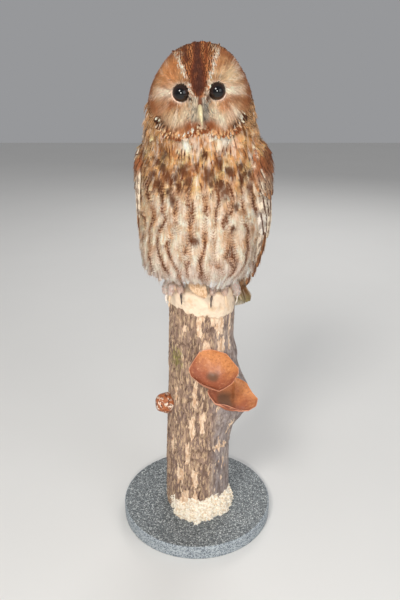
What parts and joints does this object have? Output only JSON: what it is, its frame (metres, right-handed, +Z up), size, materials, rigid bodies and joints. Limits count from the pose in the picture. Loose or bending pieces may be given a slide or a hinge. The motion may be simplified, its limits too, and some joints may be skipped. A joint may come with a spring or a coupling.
{
  "type": "taxidermy tawny owl",
  "caption": "Mounted brown owl with folded wings, perched on an upright branch with cup fungi, on a round granite slab.",
  "frame": {"origin": "centre of the granite slab's underside, which is the bottom centre of the bounding box", "axes": "+Z up along the branch, the bird faces -Y, and its left wing is towards +X"},
  "size_m": [0.215, 0.215, 0.6475],
  "materials": {
    "plumage": "soft rufous-brown feathers, pale below with dark streaks and bars",
    "eye_glass": "very dark brown glass eye, polished",
    "bill_horn": "pale yellowish horn, satin",
    "claw_horn": "grey-brown horn, darker at the point",
    "bark": "grey-brown fissured bark with peeled pale strips and a little moss",
    "wood_chips": "pale wood chips set in glue",
    "dried_fungus": "orange-brown dried cup fungus, varnished",
    "granite": "speckled grey granite, honed top and rougher edge"
  },
  "bodies": {
    "root": {"granite_base": "granite", "branch": "bark", "chips_top": "wood_chips", "chips_foot": "wood_chips", "fungus_upper": "dried_fungus", "fungus_lower": "dried_fungus", "fungus_small": "dried_fungus", "head": "plumage", "neck": "plumage", "trunk": "plumage", "wing_left": "plumage", "wing_right": "plumage", "tail": "plumage", "leg_left": "plumage", "leg_right": "plumage", "foot_left": "plumage", "foot_right": "plumage", "claw_left_1": "claw_horn", "claw_left_2": "claw_horn", "claw_left_3": "claw_horn", "claw_left_4": "claw_horn", "claw_right_1": "claw_horn", "claw_right_2": "claw_horn", "claw_right_3": "claw_horn", "claw_right_4": "claw_horn", "bill_upper": "bill_horn", "bill_lower": "bill_horn", "eye_left": "eye_glass", "eye_right": "eye_glass"}
  },
  "joints": []
}
